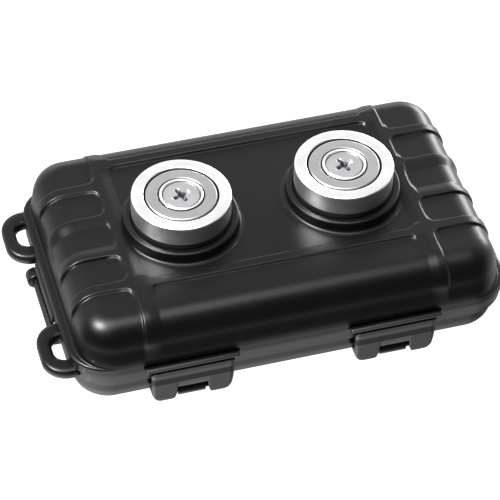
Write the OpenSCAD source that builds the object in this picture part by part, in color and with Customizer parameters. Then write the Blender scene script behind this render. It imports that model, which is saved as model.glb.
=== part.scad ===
// Magnetic key holder box: ribbed upper shell with two pot magnets, lower shell with two latches, a hinge
// and two lanyard loops. Millimetres. The origin is the middle of the rest face under the lower shell,
// +Z is up, the latches face -Y, the hinge is at +Y and the loops are at -X.

/* [Flange and shells] */
// Half of the upper flange's length
flange_half_x = 56.4; // [55.8:0.1:58]
// Half of the upper flange's width
flange_half_y = 33.5; // [33.3:0.1:35]
// Corner radius of the upper flange
flange_corner_r = 10; // [9:0.1:12]
// Thickness of each flange
flange_h = 2.8; // [2.6:0.1:3.2]
// How far the lower flange is set back from the upper one
flange_step = 0.25; // [0.1:0.05:0.5]
// Height of the parting face above the rest face
parting_z = 13.4; // [13:0.1:15]
// How far the lower wall is set back from the upper flange's ends
lower_inset_x = 1.5; // [1.4:0.1:1.8]
// How far the lower wall is set back from the upper flange's sides
lower_inset_y = 2.9; // [2.4:0.1:3.1]
// Corner radius of the lower wall
lower_corner_r = 9.2; // [8:0.1:10]
// Wall thickness of the lower shell
lower_wall_t = 2.6; // [2.6:0.1:3]
// Radius of the edge around the rest face
lower_edge_r = 6; // [4:0.1:6.5]

/* [Ribbed top] */
// Height of the rib tops above the rest face
rib_top_z = 28.5; // [28:0.1:32]
// How far the rib faces are set back from the upper flange's ends
rib_inset_x = 1.9; // [1.5:0.1:2.4]
// How far the rib faces are set back from the upper flange's sides
rib_inset_y = 0.3; // [0.2:0.1:0.8]
// Corner radius of the rib faces
rib_corner_r = 9.2; // [8:0.1:10]
// Radius of the rolled edge over the ribs
rib_edge_r = 7; // [5:0.1:8]
// Height of the ribs over the sunk cells
rib_h = 1; // [0.5:0.1:1.2]
// Height of the ribs over the sunk cells on the back
back_rib_h = 0.5; // [0.3:0.1:1]
// Wall thickness of the upper shell under the cells
upper_wall_t = 2.4; // [2.2:0.1:2.6]
// Corner radius of the cells
cell_corner_r = 3; // [1:0.1:4]
// Half length of the middle panel and the long cells
panel_half_x = 35.2; // [34:0.1:37]
// Front edge of the middle panel
panel_front_y = -17.1; // [-19:0.1:-16]
// Back edge of the middle panel
panel_back_y = 23.7; // [22:0.1:24]
// Depth of the middle panel
panel_depth = 0.7; // [0.3:0.1:0.9]
// Width of the ribs that cross the box
cross_rib_w = 3.1; // [2:0.1:4]
// Width of the ribs along the front and back
long_rib_w = 2.2; // [1.5:0.1:3]
// Width of the ribs between the end cells
end_rib_w = 2.4; // [1.5:0.1:3]
// Width of the middle end cells
middle_cell_w = 9.3; // [8:0.1:10]
// Width of the outer end cells
outer_cell_w = 9.2; // [8:0.1:10]

/* [Magnets] */
// Distance between the magnet centres
magnet_pitch = 42.2; // [40:0.1:44]
// Place of the magnets along the box's width
magnet_y = 0.3; // [0:0.1:2]
// Diameter of the magnet pot
pot_d = 25; // [24:0.1:25.5]
// Height of the magnet pot
pot_h = 5.5; // [5:0.1:7]
// Outer diameter of the ring magnet in the pot
ring_magnet_d = 18.8; // [18:0.1:20]
// Diameter of the pot's centre pole
pole_d = 11.1; // [10.5:0.1:12]
// Depth of the ring magnet in the pot
ring_magnet_h = 4; // [3:0.1:4.5]
// Gap around the ring magnet, and its depth under the face
magnet_gap = 0.15; // [0.1:0.05:0.3]
// Outer diameter of the boss ring around a pot
boss_d = 28.9; // [28:0.1:30]
// Diameter of the pocket in the boss ring
boss_pocket_d = 25; // [25:0.1:26]
// Height of the boss ring over the panel
boss_h = 3; // [2.5:0.1:3.2]
// Depth of the pocket in the boss ring
boss_pocket_h = 0.5; // [0.3:0.1:1]
// Radius of the fillet at the foot of the boss
boss_fillet_r = 1.5; // [1:0.1:2]
// Thickness of the rubber washer under a pot
seal_washer_t = 1.7; // [1:0.1:2.5]
// Diameter of the rubber washer under a pot
seal_washer_d = 24.6; // [23:0.1:24.8]

/* [Magnet screws] */
// Diameter of the magnet screw
screw_d = 5; // [4:0.5:5]
// Length of the magnet screw with its head
screw_l = 18; // [16:0.5:19]
// Diameter of the countersunk head
screw_head_d = 9.2; // [8.6:0.1:9.6]
// Height of the countersunk head
screw_head_h = 2.6; // [2.2:0.1:2.8]
// Depth of the head under the magnet's face
screw_sink = 0.3; // [0.1:0.1:0.5]
// Depth of the cross recess
cross_depth = 1.6; // [1:0.1:2]
// Length of the cross recess
cross_l = 4.8; // [4:0.1:5.5]
// Width of the cross recess
cross_w = 1; // [0.8:0.1:1.4]
// Gap around the screw in its holes
screw_gap = 0.25; // [0.1:0.05:0.3]
// Gap around the screw in its nut
thread_gap = 0.05; // [0.02:0.01:0.1]
// Diameter of the washer inside the lid
washer_d = 12; // [11:0.1:14]
// Thickness of the washer inside the lid
washer_t = 1; // [0.8:0.1:1.2]
// Width of the nut across its flats
nut_af = 8; // [8:0.1:9]
// Height of the nut
nut_h = 4; // [3:0.1:4.5]

/* [Seal and pad] */
// Distance from the lower flange's face to the seal groove
seal_inset = 1.2; // [1.1:0.1:1.4]
// Width of the seal groove
seal_groove_w = 1.8; // [1.5:0.1:1.8]
// Depth of the seal groove
seal_groove_h = 1.8; // [1.2:0.1:2]
// Gap at each side of the seal
seal_side_gap = 0.1; // [0.05:0.05:0.2]
// Gap between the seal and the lid's face
seal_top_gap = 0.05; // [0.02:0.01:0.1]
// Thickness of the foam pad in the base
pad_t = 2; // [1:0.1:3]
// Gap around the foam pad
pad_gap = 0.6; // [0.3:0.1:1]

/* [Latches] */
// Half of the distance between the latches
latch_x = 26.1; // [25:0.1:27]
// How far both latches lie off the middle
latch_shift = -1.3; // [-1.5:0.1:0]
// Width of the latch body
latch_w = 21; // [19:0.1:22]
// Width of the finger lip over the body
lip_w = 23.6; // [22:0.1:24]
// How far the lip stands out from the upper flange
lip_reach = 1.9; // [1.7:0.1:2.4]
// How far the body stands out from the upper flange
body_reach = 1.7; // [1.5:0.1:2]
// Gap between the latch and the upper flange's face
latch_gap = 0.3; // [0.2:0.05:0.35]
// Height of the hook's underside above the parting face
catch_h = 0.8; // [0.7:0.1:1]
// Height of the lip's underside above the parting face
lip_low = 1.1; // [0.9:0.1:1.3]
// Height of the lip's top above the hook's top
lip_rise = 0.8; // [0.4:0.1:1]
// Thickness of the lip's upright edge
lip_t = 0.8; // [0.6:0.1:1]
// Thickness of the hook over the catch
hook_t = 0.8; // [0.7:0.1:1]
// How far the hook reaches in over the upper flange
hook_reach = 1.5; // [1:0.1:1.6]
// Gap between the hook and its seat
hook_gap = 0.1; // [0.05:0.05:0.2]
// Room over the hook in its seat
hook_room = 0.4; // [0.3:0.1:0.6]
// Depth of the finger groove under the lip
groove_depth = 0.8; // [0.6:0.1:0.9]
// Height of the finger groove under the lip
groove_h = 0.9; // [0.7:0.1:1.2]
// Width of the slot between the lobes
slot_w = 6; // [5.6:0.1:8]
// Height of the slot's top above the pin
slot_h = 3; // [2.6:0.1:4]
// Corner radius of the lobes
lobe_r = 3.5; // [2:0.1:3.5]
// Height of the latch pin above the rest face
latch_pin_z = 4; // [3.6:0.1:4.4]
// Diameter of the latch pin
latch_pin_d = 1.8; // [1.5:0.1:2]
// Radius of the latch knuckles
latch_knuckle_r = 2; // [1.8:0.05:2.05]
// Gap between the latch's knuckles and the lower wall
knuckle_wall_gap = 0.15; // [0.1:0.05:0.2]
// Gap between neighbouring knuckles
knuckle_gap = 0.2; // [0.1:0.05:0.3]

/* [Hinges] */
// Distance of each hinge from the middle
hinge_x = 30; // [26:0.1:32]
// Length of each hinge
hinge_l = 24; // [20:0.5:28]
// Radius of the hinge knuckles
hinge_knuckle_r = 2.5; // [2.2:0.1:2.6]
// Distance of the hinge axis behind the upper flange
hinge_back = 1.6; // [1.5:0.1:2]
// Diameter of the hinge pins
hinge_pin_d = 2; // [1.5:0.1:2.4]
// Gap around a pin where a piece turns on it
pin_gap = 0.05; // [0.02:0.01:0.1]
// Gap around the knuckles in the flanges
hinge_relief = 0.3; // [0.2:0.05:0.4]

/* [Pins] */
// Wall left at each end of a blind pin bore
bore_end_wall = 1; // [0.6:0.1:1.5]
// Distance between a pin's end and its bore's end
pin_end_gap = 0.4; // [0.1:0.1:0.6]

/* [Left side] */
// Distance of each lanyard loop from the middle
loop_y = 20.1; // [18.5:0.1:20.5]
// Width of a lanyard loop
loop_w = 17.2; // [16:0.1:18]
// How far a lanyard loop stands out
loop_reach = 6.4; // [6:0.1:7.5]
// Thickness of a loop's ring
loop_t = 3; // [2.5:0.1:3.2]
// Height of a loop's ring
loop_h = 3.2; // [2.6:0.1:3.4]
// Distance of each side lug from the middle
lug_y = 9.6; // [9:0.1:9.8]
// Width of a side lug
lug_w = 5; // [4:0.1:5]
// Radius of a side lug
lug_r = 3.1; // [2.6:0.1:3.2]
// Distance of the strap pin's axis from the lower wall
strap_out = 2.4; // [2.2:0.1:2.8]
// Height of the strap pin's axis above the rest face
strap_z = 7.3; // [7:0.1:7.4]
// Diameter of the strap pin
strap_pin_d = 3; // [2.4:0.1:3.2]
// Half length of the middle edge bar on the lower flange
edge_bar_half_y = 9.4; // [8:0.1:9.6]
// How far the middle edge bar stands out from the upper flange
edge_bar_out = 1.2; // [0.6:0.1:1.6]

/* [Hidden] */
$fn = 96;
plastic = "#2b2b2d";
rubber = "#161616";
steel = "#c9c9cb";
magnet_colour = "#b4b4b8";
foam = "#303030";
// Tall enough to cut through any wall
far = 200;
// Overlap of a cut with the air beside it
eps = 1;

// Outer half sizes of the two shells, from the flange
rib_half_x = flange_half_x - rib_inset_x;
rib_half_y = flange_half_y - rib_inset_y;
lower_half_x = flange_half_x - lower_inset_x;
lower_half_y = flange_half_y - lower_inset_y;
core_half_y = rib_half_y - (rib_h + back_rib_h) / 2;
core_shift_y = (rib_h - back_rib_h) / 2;
core_top_z = rib_top_z - rib_h;
ceiling_z = core_top_z - upper_wall_t;
cell_low_z = parting_z + flange_h + eps;

// Magnet stack, downwards from the face
panel_z = rib_top_z - panel_depth;
boss_top_z = panel_z + boss_h;
pocket_z = boss_top_z - boss_pocket_h;
pot_low_z = pocket_z + seal_washer_t;
face_z = pot_low_z + pot_h;
screw_top_z = face_z - screw_sink;
washer_z = ceiling_z - washer_t;
nut_z = washer_z - nut_h;

// Latch lines in the side view
latch_pin_y = -(lower_half_y + latch_knuckle_r + knuckle_wall_gap);
latch_back_y = -(flange_half_y + latch_gap);
lip_front_y = -(flange_half_y + lip_reach);
body_front_y = -(flange_half_y + body_reach);
hook_tip_y = -(flange_half_y - hook_reach);
catch_z = parting_z + catch_h;
hook_low_z = catch_z + hook_gap;
hook_top_z = hook_low_z + hook_t;
lip_top_z = hook_top_z + lip_rise;
lip_low_z = parting_z + lip_low;
body_top_z = lip_low_z - groove_h;
latch_low_z = latch_pin_z - latch_knuckle_r;

latch_slope_z = parting_z - 2 * flange_h;
neck_y = body_front_y + groove_depth;
latch_bore_l = latch_w - 2 * bore_end_wall;

// Hinge axis and knuckle lengths
hinge_y = flange_half_y + hinge_back;
hinge_knuckle_l = hinge_l / 3;

// Axis and bore of the strap pin
strap_x = -(lower_half_x + strap_out);
strap_bore_l = 2 * lug_y + lug_w - 2 * bore_end_wall;

// Rectangle with round corners, as squares and circles
module rounded_rect(half_x, half_y, r) {
    square([2 * (half_x - r), 2 * half_y], center = true);
    square([2 * half_x, 2 * (half_y - r)], center = true);
    for (sx = [-1, 1], sy = [-1, 1])
        translate([sx * (half_x - r), sy * (half_y - r)])
            circle(r);
}

// Half of a rounded block's side view: from the axis out to a top edge of radius edge_r
module half_profile(out, h, edge_r) {
    square([out - edge_r, h]);
    square([out, h - edge_r]);
    intersection() {
        translate([out - edge_r, h - edge_r])
            circle(edge_r);
        square([out, h]);
    }
}

// Whole side view of a rounded block
module full_profile(out, h, edge_r) {
    half_profile(out, h, edge_r);
    mirror([1, 0])
        half_profile(out, h, edge_r);
}

// Block with round corners and a rolled top edge, standing on z = 0
module rounded_block(half_x, half_y, corner_r, h, edge_r) {
    straight_x = half_x - corner_r;
    straight_y = half_y - corner_r;
    rotate([90, 0, 90])
        linear_extrude(2 * straight_x, center = true)
            full_profile(half_y, h, edge_r);
    for (side = [0, 180])
        rotate(side)
            translate([straight_x, 0, 0])
                rotate([90, 0, 0])
                    linear_extrude(2 * straight_y, center = true)
                        half_profile(corner_r, h, edge_r);
    for (sx = [0, 1], sy = [0, 1])
        mirror([sx, 0, 0])
            mirror([0, sy, 0])
                translate([straight_x, straight_y, 0])
                    rotate_extrude(angle = 90)
                        half_profile(corner_r, h, edge_r);
}

// Round bar along X
module bar_x(r, l) {
    rotate([0, 90, 0])
        cylinder(r = r, h = l, center = true);
}

// Round bar along Y
module bar_y(r, l) {
    rotate([90, 0, 0])
        cylinder(r = r, h = l, center = true);
}

// The space over one cell, between two corners of its plan
module cell(x0, x1, y0, y1, low_z) {
    translate([(x0 + x1) / 2, (y0 + y1) / 2, low_z])
        linear_extrude(far)
            rounded_rect((x1 - x0) / 2, (y1 - y0) / 2, cell_corner_r);
}

// All sunk cells around the middle panel
module cells() {
    end_x = panel_half_x + cross_rib_w;
    outer_y = middle_cell_w / 2 + end_rib_w;
    corner_y = outer_y + outer_cell_w + end_rib_w;
    cell(-panel_half_x, panel_half_x, -far, panel_front_y - long_rib_w, cell_low_z);
    cell(-panel_half_x, panel_half_x, panel_back_y + long_rib_w, far, cell_low_z);
    for (side = [0, 1])
        mirror([side, 0, 0]) {
            cell(end_x, far, -middle_cell_w / 2, middle_cell_w / 2, cell_low_z);
            for (end = [0, 1])
                mirror([0, end, 0]) {
                    cell(end_x, far, outer_y, outer_y + outer_cell_w, cell_low_z);
                    cell(end_x, far, corner_y, far, cell_low_z);
                }
        }
}

// Space of one magnet boss: ring with a fillet at its foot
module boss() {
    rotate_extrude() {
        square([boss_d / 2, boss_top_z - ceiling_z]);
        difference() {
            square([boss_d / 2 + boss_fillet_r, panel_z - ceiling_z + boss_fillet_r]);
            translate([boss_d / 2 + boss_fillet_r, panel_z - ceiling_z + boss_fillet_r])
                circle(boss_fillet_r);
        }
    }
}

// Both magnet places
module at_magnets() {
    for (side = [-1, 1])
        translate([side * magnet_pitch / 2, magnet_y, 0])
            children();
}

// Knuckle with a web that runs towards the box
module hinge_knuckle(l, web_z0, web_z1) {
    difference() {
        union() {
            bar_x(hinge_knuckle_r, l);
            translate([-l / 2, -hinge_back - flange_step - eps, web_z0])
                cube([l, hinge_back + flange_step + eps, web_z1 - web_z0]);
        }
        bar_x(hinge_pin_d / 2 + pin_gap, l + eps);
    }
}

// Relief in a flange around the other shell's knuckles
module hinge_relief_at(x, l) {
    translate([x, hinge_y, parting_z])
        bar_x(hinge_knuckle_r + hinge_relief, l + 2 * knuckle_gap);
}

// Plan of one lanyard loop, root on the y axis
module loop_plan(reach, w) {
    for (side = [-1, 1])
        translate([0, side * (w / 2 - reach)])
            circle(reach);
    translate([-reach, -(w / 2 - reach)])
        square([2 * reach, w - 2 * reach]);
}

// Lanyard loop beside the lower flange
module lanyard_loop() {
    difference() {
        linear_extrude(loop_h)
            loop_plan(loop_reach, loop_w);
        translate([0, 0, -eps])
            linear_extrude(loop_h + 2 * eps)
                loop_plan(loop_reach - loop_t, loop_w - 2 * loop_t);
    }
}

// Tub with flange, hinge and latch knuckles, lanyard loops and side lugs
module lower_shell() {
    cavity_x = lower_half_x - lower_wall_t;
    cavity_y = lower_half_y - lower_wall_t;
    cavity_r = lower_corner_r - lower_wall_t;
    cavity_edge_r = lower_edge_r - lower_wall_t;
    color(plastic)
        difference() {
            union() {
                translate([0, 0, parting_z])
                    mirror([0, 0, 1])
                        rounded_block(lower_half_x, lower_half_y, lower_corner_r, parting_z, lower_edge_r);
                translate([0, 0, parting_z - flange_h])
                    linear_extrude(flange_h)
                        rounded_rect(flange_half_x - flange_step, flange_half_y - flange_step,
                            flange_corner_r - flange_step);
                for (side = [-1, 1])
                    translate([-flange_half_x, side * loop_y, parting_z - loop_h])
                        lanyard_loop();
                translate([-flange_half_x - edge_bar_out, -edge_bar_half_y, parting_z - flange_h])
                    cube([edge_bar_out + eps, 2 * edge_bar_half_y, flange_h]);
                for (side = [-1, 1]) {
                    translate([strap_x, side * lug_y, strap_z])
                        bar_y(lug_r, lug_w);
                    translate([strap_x, side * lug_y - lug_w / 2, strap_z - lug_r])
                        cube([strap_out + eps, lug_w, 2 * lug_r]);
                    translate([side * latch_x + latch_shift, 0, 0])
                        latch_knuckle();
                }
            }
            translate([0, 0, parting_z])
                mirror([0, 0, 1])
                    rounded_block(cavity_x, cavity_y, cavity_r, parting_z - lower_wall_t, cavity_edge_r);
            translate([0, 0, parting_z - eps])
                linear_extrude(2 * eps)
                    rounded_rect(cavity_x, cavity_y, cavity_r);
            translate([0, 0, parting_z - seal_groove_h])
                linear_extrude(far)
                    seal_plan(0);
            for (side = [-1, 1]) {
                hinge_relief_at(side * hinge_x, hinge_knuckle_l);
                translate([side * latch_x + latch_shift, latch_pin_y, latch_pin_z])
                    bar_x(latch_pin_d / 2 + pin_gap, slot_w);
            }
            translate([strap_x, 0, strap_z])
                bar_y(strap_pin_d / 2 + pin_gap, strap_bore_l);
        }
    color(plastic)
        for (side = [-1, 1], end = [-1, 1])
            translate([side * hinge_x + end * hinge_knuckle_l, hinge_y, parting_z])
                hinge_knuckle(hinge_knuckle_l - knuckle_gap, -hinge_knuckle_r, 0);
}

// Middle knuckle of a latch, on the lower wall, without its bore
module latch_knuckle() {
    l = slot_w - 2 * knuckle_gap;
    translate([0, latch_pin_y, latch_pin_z])
        bar_x(latch_knuckle_r, l);
    translate([-l / 2, latch_pin_y, latch_low_z])
        cube([l, -latch_pin_y - lower_half_y + eps, 2 * latch_knuckle_r]);
}

// Plan of the seal groove, or of the seal when gap is its side clearance
module seal_plan(gap) {
    inset_out = flange_step + seal_inset + gap;
    inset_in = flange_step + seal_inset + seal_groove_w - gap;
    difference() {
        rounded_rect(flange_half_x - inset_out, flange_half_y - inset_out, flange_corner_r - inset_out);
        rounded_rect(flange_half_x - inset_in, flange_half_y - inset_in, flange_corner_r - inset_in);
    }
}

// Lid with ribs, cells, panel, magnet bosses, latch catches and hinge knuckles
module upper_shell() {
    wall_t = rib_h + upper_wall_t;
    cavity_x = rib_half_x - wall_t;
    cavity_y = rib_half_y - wall_t;
    cavity_r = rib_corner_r - wall_t;
    color(plastic)
        difference() {
            union() {
                difference() {
                    translate([0, 0, parting_z])
                        rounded_block(rib_half_x, rib_half_y, rib_corner_r, rib_top_z - parting_z, rib_edge_r);
                    cells();
                    cell(-panel_half_x, panel_half_x, panel_front_y, panel_back_y, panel_z);
                }
                translate([0, core_shift_y, parting_z])
                    rounded_block(rib_half_x - rib_h, core_half_y, rib_corner_r - rib_h,
                        core_top_z - parting_z, rib_edge_r - rib_h);
                translate([0, 0, parting_z])
                    linear_extrude(flange_h)
                        rounded_rect(flange_half_x, flange_half_y, flange_corner_r);
                at_magnets()
                    translate([0, 0, ceiling_z])
                        boss();
            }
            translate([0, 0, parting_z])
                rounded_block(cavity_x, cavity_y, cavity_r, ceiling_z - parting_z, rib_edge_r - wall_t);
            translate([0, 0, parting_z - eps])
                linear_extrude(2 * eps)
                    rounded_rect(cavity_x, cavity_y, cavity_r);
            at_magnets() {
                cylinder(r = screw_d / 2 + screw_gap, h = far);
                translate([0, 0, pocket_z])
                    cylinder(r = boss_pocket_d / 2, h = far);
            }
            for (side = [-1, 1]) {
                translate([side * latch_x + latch_shift, 0, 0])
                    hook_seat();
                for (end = [-1, 1])
                    hinge_relief_at(side * hinge_x + end * hinge_knuckle_l, hinge_knuckle_l - knuckle_gap);
            }
        }
    color(plastic)
        for (side = [-1, 1])
            translate([side * hinge_x, hinge_y, parting_z])
                hinge_knuckle(hinge_knuckle_l - knuckle_gap, 0, hinge_knuckle_r);
}

// Notch in the upper flange in which a latch's hook sits
module hook_seat() {
    w = lip_w + 2 * latch_gap;
    depth = hook_reach + latch_gap;
    translate([-w / 2, -flange_half_y - eps, catch_z])
        cube([w, depth + eps, hook_gap + hook_t + hook_room]);
}

// Side view of the lip and hook of a latch: x is the box's y, y is its z
module lip_section() {
    translate([lip_front_y, lip_low_z])
        square([lip_t, lip_top_z - lip_low_z]);
    translate([lip_front_y, lip_low_z])
        square([latch_back_y - lip_front_y, hook_top_z - lip_low_z]);
    translate([neck_y, hook_low_z])
        square([hook_tip_y - neck_y, hook_t]);
}

// Side view of the latch body, from the finger groove down to the knuckle
module body_section() {
    polygon([
        [latch_back_y, hook_low_z],
        [neck_y, hook_low_z],
        [neck_y, body_top_z],
        [body_front_y, body_top_z],
        [latch_pin_y - latch_knuckle_r, latch_pin_z],
        [latch_pin_y, latch_pin_z],
        [latch_pin_y + latch_knuckle_r / 2, latch_pin_z + latch_knuckle_r / 2],
        [latch_back_y, latch_slope_z]
    ]);
    translate([latch_pin_y, latch_pin_z])
        circle(latch_knuckle_r);
}

// Front view of the latch body: two round lobes with the slot between them
module body_elevation() {
    lobe_w = (latch_w - slot_w) / 2;
    round_z = latch_low_z + lobe_r;
    translate([-latch_w / 2, latch_pin_z + slot_h])
        square([latch_w, far]);
    for (side = [-1, 1])
        translate([side * (slot_w + lobe_w) / 2, round_z]) {
            translate([-lobe_w / 2, 0])
                square([lobe_w, far]);
            translate([lobe_r - lobe_w / 2, -lobe_r])
                square([lobe_w - 2 * lobe_r, 2 * lobe_r]);
            for (end = [-1, 1])
                translate([end * (lobe_w / 2 - lobe_r), 0])
                    circle(lobe_r);
        }
}

// One latch: finger lip with hook, body with two lobes, bored for its pin
module latch_at(side) {
    translate([side * latch_x + latch_shift, 0, 0])
        difference() {
            union() {
                rotate([90, 0, 90])
                    linear_extrude(lip_w, center = true)
                        lip_section();
                intersection() {
                    rotate([90, 0, 90])
                        linear_extrude(latch_w, center = true)
                            body_section();
                    rotate([90, 0, 0])
                        linear_extrude(far, center = true)
                            body_elevation();
                }
            }
            translate([0, latch_pin_y, latch_pin_z])
                bar_x(latch_pin_d / 2 + pin_gap, latch_bore_l);
        }
}

// Pin of one latch
module latch_pin_at(side) {
    color(rubber)
        translate([side * latch_x + latch_shift, latch_pin_y, latch_pin_z])
            bar_x(latch_pin_d / 2, latch_bore_l - 2 * pin_end_gap);
}

// Pin of one hinge
module hinge_pin_at(side) {
    color(steel)
        translate([side * hinge_x, hinge_y, parting_z])
            bar_x(hinge_pin_d / 2, hinge_l - 2 * pin_end_gap);
}

// Rubber ring in the lower flange's groove
module seal_ring() {
    color(rubber)
        translate([0, 0, parting_z - seal_groove_h])
            linear_extrude(seal_groove_h - seal_top_gap)
                seal_plan(seal_side_gap);
}

// Foam pad on the floor of the lower shell
module base_pad() {
    inset = lower_edge_r + pad_gap;
    color(foam)
        translate([0, 0, lower_wall_t])
            linear_extrude(pad_t)
                rounded_rect(lower_half_x - inset, lower_half_y - inset, lower_corner_r - inset);
}

// Bar between the two side lugs
module strap_pin() {
    color(rubber)
        translate([strap_x, 0, strap_z])
            bar_y(strap_pin_d / 2, strap_bore_l - 2 * pin_end_gap);
}

// Place of one magnet
module at_magnet(side) {
    translate([side * magnet_pitch / 2, magnet_y, 0])
        children();
}

// Steel pot with a ring groove and a countersunk pole
module magnet_cup_at(side) {
    color(steel)
        at_magnet(side)
            difference() {
                translate([0, 0, pot_low_z])
                    cylinder(d = pot_d, h = pot_h);
                translate([0, 0, face_z - ring_magnet_h])
                    difference() {
                        cylinder(d = ring_magnet_d, h = far);
                        cylinder(d = pole_d, h = far);
                    }
                translate([0, 0, pot_low_z - eps])
                    cylinder(r = screw_d / 2 + screw_gap, h = far);
                countersink(screw_gap);
            }
}

// Solid of a countersunk head, grown by gap
module countersink(gap) {
    head_r = screw_head_d / 2;
    translate([0, 0, screw_top_z - screw_head_h])
        rotate_extrude()
            polygon([
                [0, 0],
                [screw_d / 2 + gap, 0],
                [head_r + gap, screw_head_h],
                [head_r + gap, screw_head_h + (gap > 0 ? far : 0)],
                [0, screw_head_h + (gap > 0 ? far : 0)]
            ]);
}

// Ring magnet in its pot
module magnet_ring_at(side) {
    color(magnet_colour)
        at_magnet(side)
            translate([0, 0, face_z - ring_magnet_h])
                difference() {
                    cylinder(d = ring_magnet_d - 2 * magnet_gap, h = ring_magnet_h - magnet_gap);
                    translate([0, 0, -eps])
                        cylinder(d = pole_d + 2 * magnet_gap, h = far);
                }
}

// Countersunk cross-head screw
module magnet_screw_at(side) {
    color(steel)
        at_magnet(side)
            difference() {
                union() {
                    countersink(0);
                    translate([0, 0, screw_top_z - screw_l])
                        cylinder(d = screw_d, h = screw_l - screw_head_h);
                }
                for (turn = [0, 90])
                    rotate(turn)
                        translate([-cross_l / 2, -cross_w / 2, screw_top_z - cross_depth])
                            cube([cross_l, cross_w, far]);
            }
}

// Rubber washer under a pot
module seal_washer_at(side) {
    color(rubber)
        at_magnet(side)
            translate([0, 0, pocket_z])
                difference() {
                    cylinder(d = seal_washer_d, h = seal_washer_t);
                    translate([0, 0, -eps])
                        cylinder(r = screw_d / 2 + screw_gap, h = far);
                }
}

// Steel washer against the lid's ceiling
module inner_washer_at(side) {
    color(steel)
        at_magnet(side)
            translate([0, 0, washer_z])
                difference() {
                    cylinder(d = washer_d, h = washer_t);
                    translate([0, 0, -eps])
                        cylinder(r = screw_d / 2 + screw_gap, h = far);
                }
}

// Hexagon nut under the washer
module inner_nut_at(side) {
    color(steel)
        at_magnet(side)
            translate([0, 0, nut_z])
                difference() {
                    cylinder(d = nut_af / cos(30), h = nut_h, $fn = 6);
                    translate([0, 0, -eps])
                        cylinder(r = screw_d / 2 + thread_gap, h = far);
                }
}

lower_shell();
upper_shell();
seal_ring();
base_pad();
hinge_pin_at(-1);  // hinge_pin_left
hinge_pin_at(1);  // hinge_pin_right
color(plastic) latch_at(-1);  // latch_left
color(plastic) latch_at(1);  // latch_right
latch_pin_at(-1);  // latch_pin_left
latch_pin_at(1);  // latch_pin_right
strap_pin();
magnet_cup_at(-1);  // magnet_cup_left
magnet_cup_at(1);  // magnet_cup_right
magnet_ring_at(-1);  // magnet_ring_left
magnet_ring_at(1);  // magnet_ring_right
magnet_screw_at(-1);  // magnet_screw_left
magnet_screw_at(1);  // magnet_screw_right
seal_washer_at(-1);  // seal_washer_left
seal_washer_at(1);  // seal_washer_right
inner_washer_at(-1);  // inner_washer_left
inner_washer_at(1);  // inner_washer_right
inner_nut_at(-1);  // inner_nut_left
inner_nut_at(1);  // inner_nut_right
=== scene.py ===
"""Magnetic key holder box, dressed for its photograph.

The box lies on its lower shell with the two pot magnets up. Sizes are in millimetres, turned to
metres where a mesh is made. +X runs along the box, the latches are at -Y and the hinge is at +Y.
"""

import math

import bmesh
import bpy
import numpy as np
from mathutils import Matrix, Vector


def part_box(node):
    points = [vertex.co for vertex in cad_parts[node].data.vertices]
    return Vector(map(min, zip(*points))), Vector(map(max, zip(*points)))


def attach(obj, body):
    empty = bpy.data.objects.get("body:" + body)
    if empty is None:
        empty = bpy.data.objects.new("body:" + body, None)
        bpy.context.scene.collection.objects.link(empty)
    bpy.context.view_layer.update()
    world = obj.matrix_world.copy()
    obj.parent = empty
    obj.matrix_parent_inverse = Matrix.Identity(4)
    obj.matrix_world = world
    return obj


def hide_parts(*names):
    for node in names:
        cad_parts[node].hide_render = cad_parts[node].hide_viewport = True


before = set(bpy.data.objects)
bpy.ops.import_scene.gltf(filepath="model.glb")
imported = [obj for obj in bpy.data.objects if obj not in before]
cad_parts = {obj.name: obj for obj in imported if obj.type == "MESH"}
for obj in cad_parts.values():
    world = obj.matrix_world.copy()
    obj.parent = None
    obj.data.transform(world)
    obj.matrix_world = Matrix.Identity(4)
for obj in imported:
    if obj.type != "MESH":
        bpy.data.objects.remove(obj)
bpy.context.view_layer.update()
MM = 0.001

# ---------------------------------------------------------------------------------------------
# Camera, floor and light.
# A long lens looks down on the near left corner. The room is dark in front and white behind. The
# floor gives light but isn't reflected: a bright patch low on the left stands for it there.
# ---------------------------------------------------------------------------------------------
magnet_face_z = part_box("magnet_cup_left")[1][2] / MM
camera_turn = math.radians(-16.755)
camera_rise = math.radians(45.695)
camera_roll = math.radians(1.386)
camera_distance = 640.85
camera_shift_right = -9.546
camera_shift_up = -17.708
focal_pixels = 2579.6
middle_pixel_x = 223.489
photo_pixels = 500.0
sensor_mm = 36.0

look = np.array([
    -math.sin(camera_turn) * math.cos(camera_rise),
    math.cos(camera_turn) * math.cos(camera_rise),
    -math.sin(camera_rise),
])
camera_right = np.array([math.cos(camera_turn), math.sin(camera_turn), 0.0])
camera_up = np.cross(camera_right, look)
aim = np.array([0.0, 0.0, magnet_face_z])
camera_place = (aim + camera_shift_right * camera_right + camera_shift_up * camera_up
                - camera_distance * look)

camera_data = bpy.data.cameras.new("photo_camera")
camera_data.sensor_width = sensor_mm
camera_data.lens = sensor_mm * focal_pixels / photo_pixels
camera_data.shift_x = 0.5 - middle_pixel_x / photo_pixels
camera_data.clip_start = 0.05
camera_data.clip_end = 20.0
camera = bpy.data.objects.new("photo_camera", camera_data)
bpy.context.scene.collection.objects.link(camera)
pose = np.eye(4)
pose[:3, 0] = camera_right * math.cos(camera_roll) + camera_up * math.sin(camera_roll)
pose[:3, 1] = camera_up * math.cos(camera_roll) - camera_right * math.sin(camera_roll)
pose[:3, 2] = -look
pose[:3, 3] = camera_place * MM
camera.matrix_world = Matrix(pose.tolist())
bpy.context.scene.camera = camera
bpy.context.scene.view_settings.view_transform = "Standard"


def wire(tree, node, inputs):
    """Joins each named input of a node to another node's output, or gives it its own value."""
    for name, value in inputs.items():
        if isinstance(value, bpy.types.NodeSocket):
            tree.links.new(value, node.inputs[name])
        else:
            node.inputs[name].default_value = value


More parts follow.
